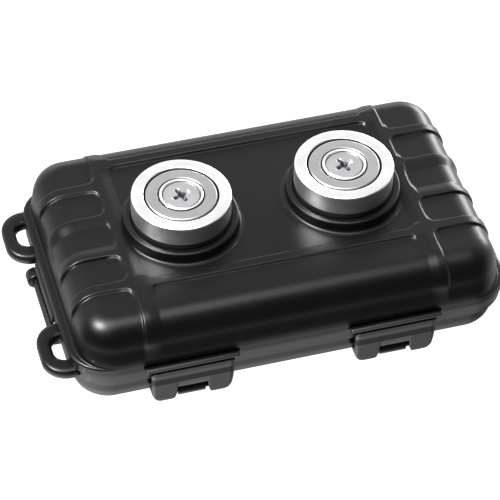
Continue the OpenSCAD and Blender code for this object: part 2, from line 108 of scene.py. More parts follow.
def add_node(tree, kind, inputs=None, **options):
    """Adds a node, sets its options and then wires its inputs."""
    node = tree.nodes.new("ShaderNode" + kind)
    for name, value in options.items():
        setattr(node, name, value)
    wire(tree, node, inputs or {})
    return node


def grey(value):
    """A colour with the same red, green and blue."""
    return (value, value, value, 1)


def colour_ramp(tree, value, places, colours):
    """The first colour up to the first place of a value, the second from the second place on, and
    a straight blend between."""
    ramp = add_node(tree, "ValToRGB", {"Fac": value})
    for stop, place, colour in zip(ramp.color_ramp.elements, places, colours):
        stop.position = place
        stop.color = colour
    return ramp.outputs["Color"]


def map_range(tree, value, old=(0.0, 1.0), new=(0.0, 1.0), rise="LINEAR"):
    """Carries a value over from an old range to a new one, and holds it at both ends."""
    ends = {"From Min": old[0], "From Max": old[1], "To Min": new[0], "To Max": new[1]}
    return add_node(tree, "MapRange", {"Value": value, **ends}, interpolation_type=rise).outputs["Result"]


def mixed(tree, share, first, second):
    """The first colour at share 0, the second at share 1, and a straight blend between."""
    inputs = {"Factor": share, "A": first, "B": second}
    return add_node(tree, "Mix", inputs, data_type="RGBA").outputs["Result"]


floor_half = 3.0
floor_mesh = bpy.data.meshes.new("floor")
floor_mesh.from_pydata(
    [(-floor_half, -floor_half, 0), (floor_half, -floor_half, 0),
     (floor_half, floor_half, 0), (-floor_half, floor_half, 0)], [], [(0, 1, 2, 3)])
floor = bpy.data.objects.new("floor", floor_mesh)
bpy.context.scene.collection.objects.link(floor)
floor_paint = bpy.data.materials.new("white_floor")
floor_paint.use_nodes = True
wire(floor_paint.node_tree, floor_paint.node_tree.nodes["Principled BSDF"], {
    "Base Color": grey(0.2),
    "Roughness": 0.9,
    "Specular IOR Level": 0.1,
    "Emission Color": grey(1),
    "Emission Strength": 1.2,
})
floor_mesh.materials.append(floor_paint)
floor.visible_glossy = False

box_middle = (0, 0, 0.02)


def soft_panel(name, place, width, height, power, reflected_only=False):
    """A white rectangular lamp at a place in metres that faces the middle of the box. One that is
    reflected only shows in gloss, and gives the surface no light of its own."""
    lamp_data = bpy.data.lights.new(name, "AREA")
    lamp_data.shape = "RECTANGLE"
    lamp_data.size = width
    lamp_data.size_y = height
    lamp_data.energy = power
    lamp = bpy.data.objects.new(name, lamp_data)
    away = np.array(place, float) - np.array(box_middle, float)
    away /= np.linalg.norm(away)
    across = np.cross((0, 1, 0) if abs(away[2]) > 0.9 else (0, 0, 1), away)
    across /= np.linalg.norm(across)
    turn = np.eye(4)
    turn[:3, 0] = across
    turn[:3, 1] = np.cross(away, across)
    turn[:3, 2] = away
    turn[:3, 3] = place
    lamp.matrix_world = Matrix(turn.tolist())
    lamp.visible_diffuse = not reflected_only
    bpy.context.scene.collection.objects.link(lamp)


soft_panel("overhead_panel", (-0.14, -0.15, 1.0), width=0.8, height=0.55, power=9.5)
soft_panel("corner_panel", (-0.74, -0.09, 0.97), width=0.36, height=0.36, power=46.0,
           reflected_only=True)
soft_panel("back_panel", (0.35, 1.15, 0.3), width=1.6, height=0.3, power=3.0)
soft_panel("right_panel", (0.93, 0.8, 0.2), width=0.7, height=0.2, power=12.0)

world = bpy.data.worlds.new("studio")
world.use_nodes = True
bpy.context.scene.world = world
room = world.node_tree
room_direction = add_node(room, "TexCoord").outputs["Generated"]
room_height = add_node(room, "SeparateXYZ", {"Vector": room_direction}).outputs["Z"]
back_side = (0.35, 0.94, 0.0)
low_left_side = (-0.6, -0.5, -0.62)


def facing(side):
    """How nearly a direction in the room points to a side: the product of the two directions."""
    inputs = {0: room_direction, 1: side}
    return add_node(room, "VectorMath", inputs, operation="DOT_PRODUCT").outputs["Value"]


to_back = map_range(room, facing(back_side), (-1.0, 1.0))
high_room = colour_ramp(room, to_back, (0.42, 0.78), (grey(0.02), grey(0.76)))
low_room = colour_ramp(room, to_back, (0.4, 0.65), (grey(0.06), grey(1.2)))
high_share = map_range(room, room_height, (0.05, 0.4), rise="SMOOTHSTEP")
floor_share = map_range(room, room_height, (-0.5, -0.8), rise="SMOOTHSTEP")
floor_patch = map_range(room, facing(low_left_side), (0.35, 1.0), (0.4, 4.4))
wire(room, room.nodes["Background"], {
    "Color": mixed(room, floor_share, mixed(room, high_share, low_room, high_room), floor_patch),
    "Strength": 1.0,
})

# ---------------------------------------------------------------------------------------------
# Upper shell.
# The lid is one injection moulding in black plastic: a rolled block with sunk cells between
# ribs, a flange with slots for the latch hooks, and a plain inside.
# ---------------------------------------------------------------------------------------------


def new_finish(name):
    """A new material, with its nodes, its shader and the places on the object for its patterns."""
    paint = bpy.data.materials.new(name)
    paint.use_nodes = True
    tree = paint.node_tree
    return paint, tree, tree.nodes["Principled BSDF"], add_node(tree, "TexCoord").outputs["Object"]


def noise(tree, place, scale, detail):
    """A cloudy pattern between 0 and 1, with scale clouds to the metre."""
    inputs = {"Vector": place, "Scale": scale, "Detail": detail}
    return add_node(tree, "TexNoise", inputs).outputs["Fac"]


def bump(tree, height, strength, distance):
    """Leans the shading as if the surface rose by a pattern, to a distance in metres."""
    inputs = {"Height": height, "Strength": strength, "Distance": distance}
    return add_node(tree, "Bump", inputs).outputs["Normal"]


def plastic_finish(name, shade):
    """Satin moulded plastic: fine spark-eroded grain, faint flow marks, and sharp edges paled as a painted
    highlight.
    """
    paint, tree, shader, place = new_finish(name)
    flow = noise(tree, place, scale=45.0, detail=3.0)
    grain = noise(tree, place, scale=3200.0, detail=2.0)
    dark = (shade * 0.9, shade * 0.9, shade * 0.92, 1)
    light = (shade * 1.12, shade * 1.12, shade * 1.14, 1)
    tint = colour_ramp(tree, flow, (0.3, 0.75), (dark, light))
    # Painted highlight: where pointiness finds a sharp convex edge, the colour is blended towards a light
    # grey, as if the edge caught the light.
    edge = add_node(tree, "NewGeometry").outputs["Pointiness"]
    painted_edge_highlight = map_range(tree, edge, (0.52, 0.6), (0.0, 0.8))
    wire(tree, shader, {
        "Base Color": mixed(tree, painted_edge_highlight, tint, grey(shade * 25)),
        "Roughness": map_range(tree, flow, new=(0.32, 0.4)),
        "Specular IOR Level": 0.26,
        "Normal": bump(tree, grain, strength=0.12, distance=0.00006),
    })
    return paint


black_plastic = plastic_finish("black_plastic", 0.0035)


def grid_quads(rows, columns, wrap_rows=False, wrap_columns=False):
    """Four-sided faces of a grid of points that is stored row by row."""
    r = np.arange(rows if wrap_rows else rows - 1)
    c = np.arange(columns if wrap_columns else columns - 1)
    i, j = np.meshgrid(r, c, indexing="ij")
    next_i = (i + 1) % rows
    next_j = (j + 1) % columns
    corners = (i * columns + j, next_i * columns + j, next_i * columns + next_j, i * columns + next_j)
    return np.stack(corners, -1).reshape(-1, 4)


def weld_points(mesh):
    """Joins points that lie on each other, at poles and seams, and drops the flat faces left there."""
    work = bmesh.new()
    work.from_mesh(mesh)
    bmesh.ops.remove_doubles(work, verts=work.verts, dist=2e-6)
    bmesh.ops.dissolve_degenerate(work, edges=work.edges, dist=1e-7)
    work.to_mesh(mesh)
    work.free()


def add_piece(name, points, faces, body, slot, paint, replaced=(), sharp_angle=40.0):
    """Makes a closed mesh of points in millimetres, turns its faces outwards by the sign of the
    volume that they enclose, shades it smooth below sharp_angle and hangs it on its body."""
    faces = [np.asarray(face) for face in faces]
    quads = np.array([face for face in faces if len(face) == 4])
    fans = [quads[:, [0, 1, 2]], quads[:, [0, 2, 3]]]
    fans += [np.stack([np.full(len(face) - 2, face[0]), face[1:-1], face[2:]], -1)
             for face in faces if len(face) != 4]
    a, b, c = (points[np.concatenate(fans)[:, k]] for k in range(3))
    if np.einsum("ij,ij->", a, np.cross(b, c)) < 0:
        faces = [face[::-1] for face in faces]
    mesh = bpy.data.meshes.new(name)
    mesh.from_pydata((points * MM).tolist(), [], [face.tolist() for face in faces])
    weld_points(mesh)
    mesh.shade_smooth()
    mesh.set_sharp_from_angle(angle=math.radians(sharp_angle))
    mesh.materials.append(paint)
    piece = bpy.data.objects.new(name, mesh)
    bpy.context.scene.collection.objects.link(piece)
    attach(piece, body)
    if replaced:
        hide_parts(*replaced)
    return piece


def smooth_step(value):
    """0 below 0, 1 above 1, and a smooth rise with no corners between."""
    value = np.clip(value, 0.0, 1.0)
    return value * value * (3 - 2 * value)


def arc(centre, radius, start, end, count):
    """Points on a circle in the (out, z) plane, angles in degrees from the out axis."""
    angle = np.radians(np.linspace(start, end, count))
    return np.stack([centre[0] + radius * np.cos(angle), centre[1] + radius * np.sin(angle)], -1)


def line(start, end, count):
    """Evenly spaced points on a straight line, without its first point."""
    share = np.linspace(0, 1, count + 1)[1:, None]
    return np.array(start) + share * (np.array(end) - np.array(start))


def tray_axis(inner_lines, corner, ring_count):
    """Grid lines along one axis of a tray: the lines between the two corner centres, and the
    rings beyond each of them. Returns each line's base place and its signed ring number."""
    base = np.concatenate([np.full(ring_count, -corner), inner_lines, np.full(ring_count, corner)])
    ring = np.concatenate([np.arange(-ring_count, 0), np.zeros(len(inner_lines), int),
                           np.arange(1, ring_count + 1)])
    return base, ring


def tray_points(x_axis, y_axis, out_x, out_y, height):
    """Points of a rounded tray. Each ring lies a distance out from the rectangle of the corner
    centres, at its own height. In a corner the rings are quarter ellipses: a point's ring is the
    larger of its two ring numbers, and its angle is the share of the smaller one."""
    base_x, ring_x = (v[:, None] for v in x_axis)
    base_y, ring_y = (v[None, :] for v in y_axis)
    ring_x, ring_y = np.broadcast_arrays(ring_x, ring_y)
    size_x, size_y = np.abs(ring_x), np.abs(ring_y)
    ring = np.maximum(size_x, size_y)
    angle = np.where(size_x >= size_y,
                     math.pi / 4 * size_y / np.maximum(size_x, 1),
                     math.pi / 2 - math.pi / 4 * size_x / np.maximum(size_y, 1))
    x = base_x + np.sign(ring_x) * out_x[ring] * np.cos(angle)
    y = base_y + np.sign(ring_y) * out_y[ring] * np.sin(angle)
    return np.stack([x, y, height[ring]], -1), ring


def surface_normals(points):
    """Unit normals of a grid of points, from the differences between neighbours."""
    normal = np.cross(np.gradient(points, axis=0), np.gradient(points, axis=1))
    return normal / np.maximum(np.linalg.norm(normal, axis=-1, keepdims=True), 1e-12)


def rounded_meet(a, b, radius):
    """Signed distance to the place where both a < 0 and b < 0, its corner rounded to radius."""
    u, v = a + radius, b + radius
    return np.hypot(np.maximum(u, 0), np.maximum(v, 0)) + np.minimum(np.maximum(u, v), 0) - radius


def marks(low, high, fine, coarse, fine_places, reach):
    """Line places from low to high: fine steps within reach of the fine places, coarse elsewhere."""
    places = [low]
    while places[-1] < high:
        here = places[-1]
        near = any(abs(here - p) < reach for p in fine_places)
        ahead = [p - reach for p in fine_places if p - reach > here + 1e-6]
        step = fine if near else min(coarse, min(ahead, default=here + coarse) - here)
        places.append(here + max(step, fine))
    places = np.array(places)
    return low + (places - low) * (high - low) / (places[-1] - low)


def mirrored(places):
    """Places from 0 up, with their mirror images below 0 put before them."""
    return np.concatenate([-places[:0:-1], places])


lid_low, lid_high = (np.array(corner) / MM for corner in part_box("upper_shell"))
flange_half_x = lid_high[0]
flange_half_y = -lid_low[1]
seal_under_parting = 0.05
parting_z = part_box("seal_ring")[1][2] / MM + seal_under_parting
rib_top_z = 28.5
flange_h = 2.8
rib_inset_x = 2.3
rib_inset_y = 0.6
rib_corner_r = 9.2
rib_edge_r = 7.0
wall_t = 3.1
corner_x = flange_half_x - rib_inset_x - rib_corner_r
corner_y = flange_half_y - rib_inset_y - rib_corner_r
rib_depth = 0.6
panel_depth = 0.7
panel_half_x = 35.2
panel_front_y = -17.1
panel_back_y = 23.7
cross_rib_w = 3.1
long_rib_w = 2.2
end_rib_w = 2.4
middle_cell_half = 4.65
outer_cell_w = 9.2
cell_corner_r = 3.0
latch_x = 26.1
latch_shift = -1.3
hinge_x = 30.0
hinge_out = 1.6
hinge_y = flange_half_y + hinge_out
hinge_piece = 8.0

# The lid's outline, from the middle of its top down to its inner edge on the parting face.
flat_out = rib_corner_r - rib_edge_r
roll_z = rib_top_z - rib_edge_r
ledge_z = parting_z + flange_h
flange_out = rib_corner_r + rib_inset_x
wall_foot_lean = 0.2
wall_foot_out = rib_corner_r + wall_foot_lean
foot_r = 0.7
rim_w = 1.2
rim_h = 0.6
seat_rise = 0.8
seat_h = 1.3
seat_edge = 0.03
seat_low_z = parting_z + seat_rise
seat_high_z = seat_low_z + seat_h
face_count = 5
lid_outline = np.concatenate([
    [(0, rib_top_z)],
    line((0, rib_top_z), (flat_out, rib_top_z), 5),
    arc((flat_out, roll_z), rib_edge_r, 90, 58, 10)[1:],
    arc((flat_out, roll_z), rib_edge_r, 58, 2, 15)[1:],
    line((flat_out + rib_edge_r, roll_z), (wall_foot_out, ledge_z + foot_r), 12),
    arc((wall_foot_out + foot_r, ledge_z + foot_r), foot_r, 180, 268, 6)[1:],
    np.array([flange_out - rim_w, ledge_z - rim_h]) + arc((0, 0), 1.0, 90, 0, 6) * (rim_w, rim_h),
    [(flange_out, z + step) for z in (seat_high_z, seat_low_z) for step in (seat_edge, -seat_edge)],
    [(flange_out, parting_z)],
    line((flange_out, parting_z), (flange_out - wall_t - rib_inset_x, parting_z), face_count - 1),
])
ring_count = len(lid_outline) - 1
lid_out_x = lid_outline[:, 0]
lid_height = lid_outline[:, 1]

# On the front and back the wall comes out to be flush with the flange, lower down.
flush_from_z = 21.5
flush_h = 5.9
front_out = flange_half_y - corner_y
flush = smooth_step((flush_from_z - lid_height) / flush_h)
lid_out_y = np.where(lid_out_x > rib_corner_r, rib_corner_r + (front_out - rib_corner_r) * flush,
                     lid_out_x)
lid_out_y[-face_count:] = np.linspace(front_out, rib_corner_r - wall_t, face_count)
lid_travel = np.concatenate([[0], np.cumsum(np.hypot(*np.diff(lid_outline, axis=0).T))])

# Grid lines lie close together where the ribs' sides and the hook seats' ends are.
end_x = panel_half_x + cross_rib_w
outer_cell_y = middle_cell_half + end_rib_w
corner_cell_y = outer_cell_y + outer_cell_w + end_rib_w
latch_middles = [latch_shift - latch_x, latch_shift + latch_x]
seat_half_w = 12.1
fine_step = 0.22
coarse_x = 2.4
coarse_y = 1.5
side_near = 0.5
side_far = 2.2
fine_x = [side * place for side in (-1, 1)
          for place in (panel_half_x - side_far, panel_half_x - side_near,
                        end_x + side_near, end_x + side_far)]
seat_lines = [middle + side * (seat_half_w + step)
              for middle in latch_middles for side in (-1, 1) for step in (-seat_edge, seat_edge)]
lid_lines_x = np.union1d(marks(-corner_x, corner_x, fine_step, coarse_x, fine_x, reach=1.1), seat_lines)
fine_y = [middle_cell_half - 0.4, outer_cell_y + 0.4, corner_cell_y - end_rib_w - 0.4,
          -0.3 - panel_front_y, corner_cell_y + 0.4, panel_back_y - 0.3]
lid_lines_y = mirrored(marks(0, corner_y, fine_step, coarse_y, fine_y, reach=0.7))
lid_axis_x = tray_axis(lid_lines_x, corner_x, ring_count)
lid_axis_y = tray_axis(lid_lines_y, corner_y, ring_count)
lid_points, lid_ring = tray_points(lid_axis_x, lid_axis_y, lid_out_x, lid_out_y, lid_height)

# A point's place on the unrolled lid: along x and y on top, and on down the wall past a corner.
unrolled_x = (lid_axis_x[0] + np.sign(lid_axis_x[1]) * lid_travel[np.abs(lid_axis_x[1])])[:, None]
unrolled_y = (lid_axis_y[0] + np.sign(lid_axis_y[1]) * lid_travel[np.abs(lid_axis_y[1])])[None, :]
down_travel = lid_travel[lid_ring]
away_x = np.abs(unrolled_x)
away_y = np.abs(unrolled_y)
wall_count = int(np.argmin(np.abs(lid_height - (ledge_z + foot_r)))) + 1


def travel_at(height):
    """The way down the lid's outline to a height on its wall."""
    return np.interp(-height, -lid_height[:wall_count], lid_travel[:wall_count])


# The cells fade out down the wall, between two heights that differ on the front and the ends.
front_fade_z = (23.5, 16.95)
end_fade_z = (24.5, ledge_z + 1.3)
front_gain = 1.4
normals = surface_normals(lid_points)
front_share = np.clip(front_gain * np.abs(normals[..., 1]), 0, 1)
fade_start, fade_stop = (travel_at(on_end) + (travel_at(on_front) - travel_at(on_end)) * front_share
                         for on_end, on_front in zip(end_fade_z, front_fade_z))
fade = 1 - smooth_step((down_travel - fade_start) / (fade_stop - fade_start))
panel_gap = rounded_meet(away_x - panel_half_x,
                         np.maximum(panel_front_y - unrolled_y, unrolled_y - panel_back_y),
                         cell_corner_r)
front_gap = rounded_meet(away_x - panel_half_x, unrolled_y - (panel_front_y - long_rib_w), cell_corner_r)
back_gap = rounded_meet(away_x - panel_half_x, panel_back_y + long_rib_w - unrolled_y, cell_corner_r)
past_rib = end_x - away_x
middle_gap = rounded_meet(past_rib, away_y - middle_cell_half, cell_corner_r)
outer_gap = rounded_meet(past_rib, np.abs(away_y - outer_cell_y - outer_cell_w / 2) - outer_cell_w / 2,
                         cell_corner_r)
corner_gap = rounded_meet(past_rib, corner_cell_y - away_y, cell_corner_r)

# A rib's side is rib_side wide on top and wider on the rolled edge, by its cell's own amount. The
# cells are shallower towards the back.
rib_side = 0.34
panel_side = 0.6
roll_bend = 0.5
back_loss = 0.6
on_roll = smooth_step((1 - normals[..., 2]) / roll_bend)
cells = ((front_gap, 0.0), (back_gap, 0.0), (middle_gap, 0.3), (outer_gap, 0.3), (corner_gap, 0.7))
sunk = sum(smooth_step(-gap / (rib_side + softer * on_roll)) for gap, softer in cells)
back_share = 1 - back_loss * np.clip(normals[..., 1], 0, 1)
depth = rib_depth * sunk * fade * back_share + panel_depth * smooth_step(-panel_gap / panel_side)
lid_points = lid_points - normals * depth[..., None]

# The hook seats: a slot in the flange's front face where each latch hook lies.
seat_depth = 1.8
seat_share = np.max([np.abs(lid_points[..., 0] - middle) < seat_half_w for middle in latch_middles], axis=0)
in_seat = (np.abs(lid_height[lid_ring] - (seat_low_z + seat_high_z) / 2) < seat_h / 2) \
    & (lid_points[..., 1] < -corner_y - rib_corner_r)
lid_points[..., 1] += seat_depth * seat_share * in_seat


def hinge_notch(points, centres, half_length):
    """Pushes a flange's back edge in to the round relief around the other shell's knuckles."""
    relief = 2.8
    rise = points[..., 2] - parting_z
    reach = hinge_y - np.sqrt(np.maximum(relief ** 2 - rise ** 2, 0))
    beside = np.min([np.abs(points[..., 0] - c) for c in centres], axis=0) < half_length
    pushed = beside & (np.abs(rise) < relief) & (points[..., 1] > reach)
    points[..., 1] = np.where(pushed, reach, points[..., 1])


def inside_outline(edge_middle, edge_r, start, arc_count, whole_count):
    """The inside of a shell from its middle out: a flat, an arc from the start angle to 0 about
    edge_middle, and an upright wall to the parting face, in whole_count points."""
    roll = arc(edge_middle, edge_r, start, 0, arc_count)
    flat_z = roll[0, 1]
    flat = np.concatenate([[(0, flat_z)], line((0, flat_z), (edge_middle[0], flat_z), 3), roll[1:]])
    return np.concatenate([flat, line(roll[-1], (roll[-1, 0], parting_z), whole_count - len(flat))])


def rim_quads(rows, columns, offset):
    """Faces that join the outer edge of one grid to that of a second one of the same size."""
    top = np.arange(columns)
    right = np.arange(1, rows) * columns + columns - 1
    bottom = (rows - 1) * columns + np.arange(columns - 2, -1, -1)
    left = np.arange(rows - 2, 0, -1) * columns
    rim = np.concatenate([top, right, bottom, left])
    ahead = np.roll(rim, -1)
    return np.stack([rim, ahead, ahead + offset, rim + offset], -1)


def two_sided(outer, inner):
    """Points and faces of a shell: an outer grid, an inner grid of the same size, and their rim."""
    rows, columns = outer.shape[:2]
    sheet = grid_quads(rows, columns)
    count = rows * columns
    faces = np.concatenate([sheet[:, ::-1], sheet + count, rim_quads(rows, columns, count)])
    return np.concatenate([outer.reshape(-1, 3), inner.reshape(-1, 3)]), faces


tub_knuckle_middles = [s * hinge_x + e * hinge_piece for s in (-1, 1) for e in (-1, 1)]
hinge_notch(lid_points, tub_knuckle_middles, hinge_piece / 2 + 0.1)
lid_inside = inside_outline((flat_out, roll_z), rib_edge_r - wall_t, 90, 14, ring_count + 1)
lid_inner, _ = tray_points(lid_axis_x, lid_axis_y, lid_inside[:, 0], lid_inside[:, 0],
                           lid_inside[:, 1])
add_piece("ribbed_lid", *two_sided(lid_points, lid_inner), "lid", "plastic", black_plastic,
          ["upper_shell"], sharp_angle=60)

# ---------------------------------------------------------------------------------------------
# Magnet bosses.
# Round seats moulded on the lid's panel: a thin raised ring round each pot, with a hollow
# fillet down to the panel.
# ---------------------------------------------------------------------------------------------
magnet_low, magnet_high = (np.array(corner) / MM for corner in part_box("magnet_cup_right"))
magnet_x = (magnet_low[0] + magnet_high[0]) / 2
magnet_y = (magnet_low[1] + magnet_high[1]) / 2
pot_r = (magnet_high[0] - magnet_low[0]) / 2
pot_low_z = magnet_low[2]
washer_low_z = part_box("seal_washer_right")[0][2] / MM
sides = ((-1, "left"), (1, "right"))


def revolved(profile, centre, count):
    """Points and faces of a profile of (radius, z) pairs turned about the upright axis through
    centre. A profile that starts and ends on the axis closes at two poles, others are loops."""
    profile = np.asarray(profile, float)
    angle = np.linspace(0, 2 * math.pi, count, endpoint=False)[:, None]
    x = centre[0] + profile[:, 0] * np.cos(angle)
    y = centre[1] + profile[:, 0] * np.sin(angle)
    z = np.broadcast_to(profile[:, 1], x.shape)
    loop = profile[0, 0] > 0
    faces = grid_quads(count, len(profile), wrap_rows=True, wrap_columns=loop)
    return np.stack([x, y, z], -1).reshape(-1, 3), faces


def rounded_profile(corners, count=5):
    """A path through (out, z, radius) corners, with an arc of that radius in each corner."""
    corners = np.asarray(corners, float)
    places, radii = corners[:, :2], corners[:, 2]
    path = [places[:1]]
    for before, here, after, radius in zip(places[:-2], places[1:-1], places[2:], radii[1:-1]):
        back = (before - here) / np.linalg.norm(before - here)
        ahead = (after - here) / np.linalg.norm(after - here)
        half = math.acos(np.clip(back @ ahead, -1, 1)) / 2
        if radius == 0 or half > 1.55:
            path.append(here[None])
            continue
        reach = radius / math.tan(half)
        middle = here + (back + ahead) / np.linalg.norm(back + ahead) * radius / math.sin(half)
        start, end = here + back * reach - middle, here + ahead * reach - middle
        share = np.linspace(0, 1, count)[:, None]
        spoke = start * (1 - share) + end * share
        path.append(middle + spoke * radius / np.linalg.norm(spoke, axis=1, keepdims=True))
    path.append(places[-1:])
    return np.concatenate(path)


boss_r = 14.45
boss_foot_r = boss_r + 1.2
boss_top_z = washer_low_z + 0.5
panel_z = rib_top_z - panel_depth
boss_profile = rounded_profile([
    (0, panel_z - 1.5, 0), (boss_foot_r, panel_z - 1.5, 0), (boss_foot_r, panel_z + 0.02, 0),
    (boss_r + 0.15, panel_z + 0.02, 0.9), (boss_r, boss_top_z, 0.6), (pot_r + 0.15, boss_top_z, 0.4),
    (pot_r + 0.05, washer_low_z, 0), (0, washer_low_z, 0),
], 8)
for side, mark in sides:
    add_piece(f"magnet_boss_{mark}", *revolved(boss_profile, (side * magnet_x, magnet_y), 144),
              "lid", "plastic", black_plastic, sharp_angle=50)

# ---------------------------------------------------------------------------------------------
# Rubber washers under the pots.
# Each is a die-cut disc of black rubber, squeezed between the boss and the pot so that its rim
# swells a little.
# ---------------------------------------------------------------------------------------------


def rubber_finish(name, shade):
    """Dull black rubber with a fine dusty mottle."""
    paint, tree, shader, place = new_finish(name)
    mottle = noise(tree, place, scale=700.0, detail=5.0)
    wire(tree, shader, {
        "Base Color": colour_ramp(tree, mottle, (0, 1), (grey(shade * 0.7), grey(shade * 1.5))),
        "Roughness": 0.75,
        "Specular IOR Level": 0.3,
        "Normal": bump(tree, mottle, strength=0.3, distance=0.00005),
    })
    return paint


black_rubber = rubber_finish("black_rubber", 0.012)
screw_hole_r = 2.75
washer_r = 12.3
squeeze = 0.12
bulge = np.linspace(-1, 1, 9)
washer_half = (pot_low_z - washer_low_z) / 2
washer_profile = np.concatenate([
    [(screw_hole_r, washer_low_z)],
    np.stack([washer_r - squeeze * bulge ** 2, washer_low_z + washer_half * (1 + bulge)], -1),
    [(screw_hole_r, pot_low_z)],
])
for side, mark in sides:
    add_piece(f"rubber_washer_{mark}", *revolved(washer_profile, (side * magnet_x, magnet_y), 144),
              "lid", "rubber", black_rubber, [f"seal_washer_{mark}"])

# ---------------------------------------------------------------------------------------------
# Pot magnets.
# A turned steel pot, nickel plated, holds a ring magnet set flush in glue. The pot's middle
# pole is countersunk for the screw. Turning leaves fine rings on the face and lines on the rim.
# ---------------------------------------------------------------------------------------------


def toned(colour, share):
    """A colour made darker or lighter by a share, and never past white."""
    return tuple(min(c * share, 1) for c in colour) + (1,)


def turned_metal(name, colour, rough, centre, ring_scale):
    """Plated metal, turned about an upright axis: fine rings from the distance to that axis, and painted
    shade in the recesses."""
    paint, tree, shader, place = new_finish(name)
    to_axis = (-centre[0] * MM, -centre[1] * MM, 0)
    centred = add_node(tree, "Mapping", {"Vector": place, "Location": to_axis}).outputs["Vector"]
    split = add_node(tree, "SeparateXYZ", {"Vector": centred}).outputs
    flat = add_node(tree, "CombineXYZ", {"X": split["X"], "Y": split["Y"]}).outputs["Vector"]
    out = add_node(tree, "VectorMath", {0: flat}, operation="LENGTH").outputs["Value"]
    rings_at = add_node(tree, "CombineXYZ", {"X": out, "Y": split["Z"]}).outputs["Vector"]
    rings = noise(tree, rings_at, ring_scale, detail=2.0)
    cloud = noise(tree, place, scale=160.0, detail=3.0)
    tint = colour_ramp(tree, cloud, (0.3, 0.7), (toned(colour, 0.9), toned(colour, 1.05)))
    # Painted shade: the colour is darkened where ambient occlusion finds the surface closed in, as in the
    # screw's cross, its countersink and the groove round the magnet ring.
    openness = add_node(tree, "AmbientOcclusion", {"Distance": 0.0013}).outputs["AO"]
    painted_recess_shade = map_range(tree, openness, (0.3, 0.8), (0.05, 1.0))
    shaded_tint = add_node(tree, "VectorMath", {0: tint, "Scale": painted_recess_shade}, operation="SCALE").outputs["Vector"]
    wire(tree, shader, {
        "Base Color": shaded_tint,
        "Metallic": 1.0,
        "Roughness": map_range(tree, rings, new=(rough - 0.07, rough + 0.07)),
        "Normal": bump(tree, rings, strength=0.25, distance=0.00002),
    })
    return paint


nickel = (0.96, 0.96, 0.965)
magnet_plate = (0.43, 0.43, 0.44)
ring_r = 9.4
pole_r = 5.55
ring_low_z = magnet_face_z - 4.0
head_r = 4.6
head_h = 2.6
head_gap = 0.25
head_top_z = magnet_face_z - 0.3
pot_profile = rounded_profile([
    (screw_hole_r, pot_low_z + 1, 0), (screw_hole_r, pot_low_z, 0.1), (pot_r, pot_low_z, 0.25),
    (pot_r, magnet_face_z, 0.4), (ring_r, magnet_face_z, 0.35), (ring_r, ring_low_z, 0),
    (pole_r, ring_low_z, 0), (pole_r, magnet_face_z, 0.1), (head_r + 0.35, magnet_face_z, 0.15),
    (head_r + head_gap, head_top_z, 0), (screw_hole_r, head_top_z - head_h + 0.2, 0),
    (screw_hole_r, pot_low_z + 1, 0),
])[:-1]
ring_gap = 0.36
ring_in = pole_r + ring_gap
ring_out = ring_r - ring_gap
ring_face_z = magnet_face_z - 0.08
ring_profile = rounded_profile([
    (ring_in, ring_low_z + 1, 0), (ring_in, ring_low_z, 0), (ring_out, ring_low_z, 0),
    (ring_out, ring_face_z, 0.55), (ring_in, ring_face_z, 0.2), (ring_in, ring_low_z + 1, 0),
])[:-1]
for side, mark in sides:
    centre = (side * magnet_x, magnet_y)
    pot_metal = turned_metal(f"turned_nickel_{mark}", nickel, 0.34, centre, 5200.0)
    ring_metal = turned_metal(f"plated_magnet_{mark}", magnet_plate, 0.4, centre, 2600.0)
    add_piece(f"magnet_pot_{mark}", *revolved(pot_profile, centre, 192), "lid", "plated_steel",
              pot_metal, [f"magnet_cup_{mark}"], sharp_angle=35)
    add_piece(f"magnet_disc_{mark}", *revolved(ring_profile, centre, 192), "lid", "magnet",
              ring_metal, [f"magnet_ring_{mark}"], sharp_angle=35)

# ---------------------------------------------------------------------------------------------
# Magnet screws.
# Zinc plated steel, countersunk, with a pressed cross recess. The head lies a little under the
# magnet's face and the shank goes through the lid to the nut.
# ---------------------------------------------------------------------------------------------
screw_low_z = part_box("magnet_screw_right")[0][2] / MM
screw_zinc = (0.6, 0.6, 0.615)
shank_r = 2.5
shank_end = 0.5
head_edge_r = 0.15
cross_half_l = 2.4
cross_half_w = 0.5
cross_depth = 1.6
cross_lean = 0.24
cross_run_out = 1.5
screw_turn = math.radians(20)
head_steps = np.linspace(0, head_r - head_edge_r, 48)
head_profile = np.concatenate([
    np.stack([head_steps, np.full(len(head_steps), head_top_z)], -1),
    arc((head_r - head_edge_r, head_top_z - head_edge_r), head_edge_r, 90, -30, 6)[1:],
    [(shank_r, head_top_z - head_h), (shank_r, screw_low_z + shank_end),
     (shank_r - shank_end, screw_low_z), (0, screw_low_z)],
])


def cross_recess(points, centre):
    """Presses a cross into a screw head: each arm is a slot whose sides lean and whose floor
    rises to the arm's end, and the two arms meet in the middle."""
    x = points[:, 0] - centre[0]
    y = points[:, 1] - centre[1]
    along = np.abs(x * math.cos(screw_turn) + y * math.sin(screw_turn))
    across = np.abs(y * math.cos(screw_turn) - x * math.sin(screw_turn))

    def arm(u, v):
        side_lean = np.clip((cross_half_w + cross_lean / 2 - v) / cross_lean, 0, 1)
        return side_lean * np.clip((cross_half_l + 0.1 - u) / cross_run_out, 0, 1)

    pressed = np.maximum(arm(along, across), arm(across, along)) * cross_depth
    on_face = points[:, 2] > head_top_z - 0.01
    return np.where(on_face, points[:, 2] - pressed, points[:, 2])


for side, mark in sides:
    centre = (side * magnet_x, magnet_y)
    screw_points, screw_faces = revolved(head_profile, centre, 144)
    screw_points[:, 2] = cross_recess(screw_points, centre)
    screw_metal = turned_metal(f"zinc_screw_{mark}", screw_zinc, 0.34, centre, 3000.0)
    add_piece(f"cross_screw_{mark}", screw_points, screw_faces, "lid", "steel", screw_metal,
              [f"magnet_screw_{mark}"], sharp_angle=35)

